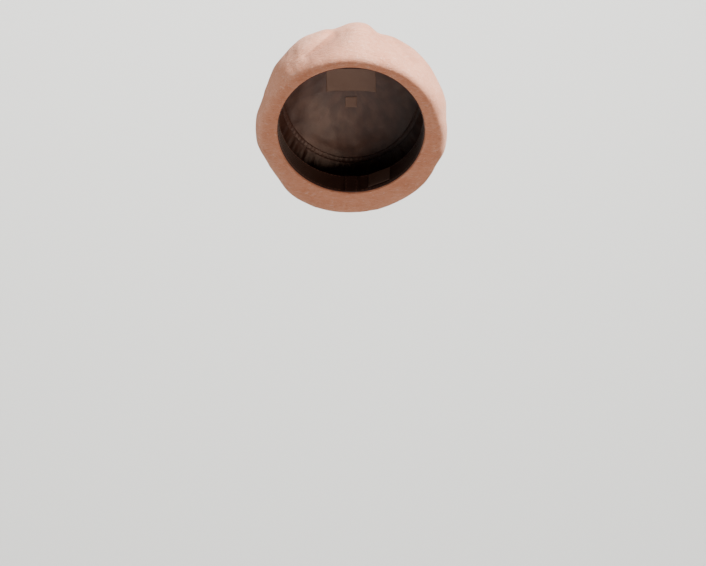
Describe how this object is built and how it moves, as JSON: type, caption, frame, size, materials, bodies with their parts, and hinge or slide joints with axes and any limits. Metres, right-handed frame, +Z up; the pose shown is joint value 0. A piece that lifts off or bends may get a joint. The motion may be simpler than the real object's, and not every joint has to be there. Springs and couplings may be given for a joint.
{
  "type": "beret",
  "caption": "Soft round wool-felt beret tilted back as worn, with turned-in hem, ribbon sweatband, satin lining, crown stalk and a swinging care tag.",
  "frame": {"origin": "middle of the head opening, in the plane of the folded felt edge", "axes": "+Z up as worn, -Y towards the wearer's front, +X to the wearer's left; the opening leans back 40 degrees from level"},
  "size_m": [0.2012, 0.2083, 0.1947],
  "materials": {
    "wool_felt": "dusty pink fulled wool, matt with a short nap",
    "thread": "twisted polyester thread",
    "cotton_tape": "undyed cotton twill tape",
    "grosgrain": "dark brown ribbed grosgrain ribbon",
    "elastic": "braided flat elastic",
    "satin": "dark brown satin lining",
    "bias_binding": "folded satin bias strip",
    "label": "woven satin label, blank, dark taupe"
  },
  "bodies": {
    "beret": {"felt_shell": "wool_felt", "crown_stalk": "wool_felt", "stalk_stitches": "thread", "hem_stay_tape": "cotton_tape", "sweatband": "grosgrain", "sweatband_join_tab": "grosgrain", "join_tab_stitches": "thread", "band_edge_stitches": "thread", "lining_seam_stitches": "thread", "sizing_elastic": "elastic", "lining_side": "satin", "lining_tip": "satin", "lining_seam_binding": "bias_binding", "maker_label": "label", "label_stitches": "thread", "size_tab": "label"},
    "care_tag": {"care_tag": "label"}
  },
  "joints": [
    {"name": "care_tag_flip", "type": "hinge", "parent": "beret", "child": "care_tag", "pos_m": [0.02997, 0.08123, -0.04009], "axis": [-0.8676, 0.381, -0.3197], "range_deg": [0, 120]}
  ]
}
